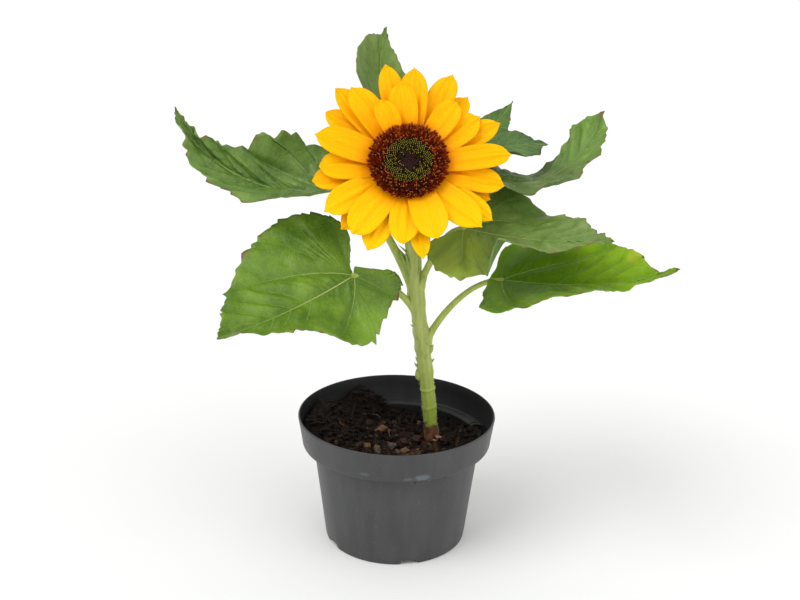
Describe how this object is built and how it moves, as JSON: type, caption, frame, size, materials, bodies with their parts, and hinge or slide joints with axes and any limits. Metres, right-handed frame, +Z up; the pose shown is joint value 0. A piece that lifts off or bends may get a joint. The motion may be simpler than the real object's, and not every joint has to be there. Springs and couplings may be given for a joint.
{
  "type": "potted dwarf sunflower",
  "caption": "Young dwarf sunflower with broad heart-shaped leaves and one large yellow flower head, growing in a round black nursery pot.",
  "frame": {"origin": "centre of the pot's flat underside, on the ground", "axes": "+Z up the plant; -Y is the front, towards which the flower head leans; +X is to the right seen from the front"},
  "size_m": [0.3056, 0.2181, 0.3276],
  "materials": {
    "pot": "thin moulded dark grey recycled plastic, satin",
    "soil": "moist dark bark and peat potting mix",
    "stem": "light green hairy stem, satin",
    "petiole": "yellow-green hairy leaf stalk, satin",
    "leaf": "matt green leaf with pale veins",
    "bract": "hairy green bracts",
    "disc": "rough brown-red and dark green disc florets",
    "petal": "soft golden yellow ray petals, slightly glossy"
  },
  "bodies": {
    "root": {"pot": "pot", "soil": "soil", "stem": "stem", "petiole_low_right": "petiole", "leaf_low_right": "leaf", "petiole_low_left": "petiole", "leaf_low_left": "leaf", "petiole_left": "petiole", "leaf_left": "leaf", "petiole_front_right": "petiole", "leaf_front_right": "leaf", "petiole_back": "petiole", "leaf_back": "leaf", "petiole_right": "petiole", "leaf_right": "leaf", "petiole_top": "petiole", "leaf_top": "leaf", "petiole_small_upper": "petiole", "leaf_small_upper": "leaf", "petiole_small_lower": "petiole", "leaf_small_lower": "leaf", "flower_base": "bract", "flower_disc": "disc", "petal_back_1": "petal", "petal_back_2": "petal", "petal_back_3": "petal", "petal_back_4": "petal", "petal_back_5": "petal", "petal_middle_1": "petal", "petal_middle_2": "petal", "petal_middle_3": "petal", "petal_middle_4": "petal", "petal_middle_5": "petal", "petal_middle_6": "petal", "petal_middle_7": "petal", "petal_middle_8": "petal", "petal_middle_9": "petal", "petal_middle_10": "petal", "petal_front_1": "petal", "petal_front_2": "petal", "petal_front_3": "petal", "petal_front_4": "petal", "petal_front_5": "petal", "petal_front_6": "petal", "petal_front_7": "petal", "petal_front_8": "petal", "petal_top_1": "petal", "petal_top_2": "petal", "petal_top_3": "petal", "petal_crest_1": "petal"}
  },
  "joints": []
}
